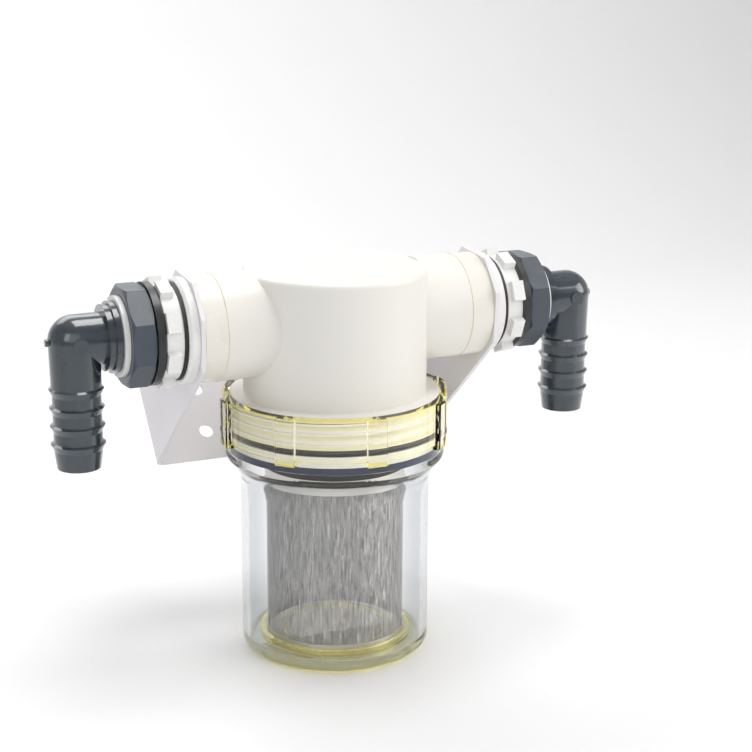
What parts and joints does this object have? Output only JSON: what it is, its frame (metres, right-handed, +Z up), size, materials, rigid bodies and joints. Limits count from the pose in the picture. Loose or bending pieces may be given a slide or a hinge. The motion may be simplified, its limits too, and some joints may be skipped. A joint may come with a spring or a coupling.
{
  "type": "sea water strainer",
  "caption": "Raw water strainer with a white head, clear screw-on bowl round a cylindrical mesh screen, swinging U bracket and barbed hose elbows.",
  "frame": {"origin": "centre of the bowl's flat base", "axes": "+Z up along the bowl, +X along the two ports, -Y the front; the bracket hangs at +Y"},
  "size_m": [0.304, 0.1579, 0.2089],
  "materials": {
    "white_moulding": "satin",
    "clear_moulding": "clear gloss",
    "navy_rubber": "matt",
    "black_rubber": "matt",
    "steel_mesh": "woven",
    "steel_band": "satin",
    "white_paint": "semi-gloss",
    "white_nylon": "gloss",
    "cream_bushing": "gloss",
    "slate_nylon": "gloss",
    "slate_nut": "satin"
  },
  "bodies": {
    "strainer_head": {"head": "white_moulding", "neck_o_ring": "black_rubber", "screen_seal": "black_rubber", "port_bushing_left": "cream_bushing", "flange_ring_left": "white_nylon", "ring_gasket_left": "black_rubber", "lock_nut_left": "white_nylon", "dark_ring_left": "slate_nut", "union_nut_left": "slate_nut", "union_seal_left": "black_rubber", "neck_washer_left": "white_nylon", "port_bushing_right": "cream_bushing", "flange_ring_right": "white_nylon", "ring_gasket_right": "black_rubber", "lock_nut_right": "white_nylon", "dark_ring_right": "slate_nut", "union_nut_right": "slate_nut", "union_seal_right": "black_rubber", "neck_washer_right": "white_nylon"},
    "wall_bracket": {"bracket": "white_paint"},
    "screen_basket": {"screen_mesh": "steel_mesh", "screen_top_band": "steel_band", "screen_bottom_band": "steel_band"},
    "clear_bowl": {"bowl": "clear_moulding", "bowl_gasket": "navy_rubber"},
    "left_hose_elbow": {"elbow_left": "slate_nylon"},
    "right_hose_elbow": {"elbow_right": "slate_nylon"}
  },
  "joints": [
    {"name": "screen_drop", "type": "slide", "parent": "strainer_head", "child": "screen_basket", "axis": [0, 0, -1], "range_m": [0, 0.0104]},
    {"name": "bowl_turn", "type": "hinge", "parent": "screen_basket", "child": "clear_bowl", "pos_m": [0, 0, 0.06], "axis": [0, 0, -1], "range_deg": [0, 720]},
    {"name": "bracket_swing", "type": "hinge", "parent": "strainer_head", "child": "wall_bracket", "pos_m": [0, 0, 0.18045], "axis": [1, 0, 0], "range_deg": [0, 131]},
    {"name": "left_elbow_turn", "type": "hinge", "parent": "strainer_head", "child": "left_hose_elbow", "pos_m": [-0.125, 0, 0.18045], "axis": [1, 0, 0], "continuous": true},
    {"name": "right_elbow_turn", "type": "hinge", "parent": "strainer_head", "child": "right_hose_elbow", "pos_m": [0.125, 0, 0.18045], "axis": [1, 0, 0], "continuous": true}
  ],
  "couplings": [
    {"joint": "screen_drop", "follows": "bowl_turn", "m_per_rad": 0.00082761}
  ]
}
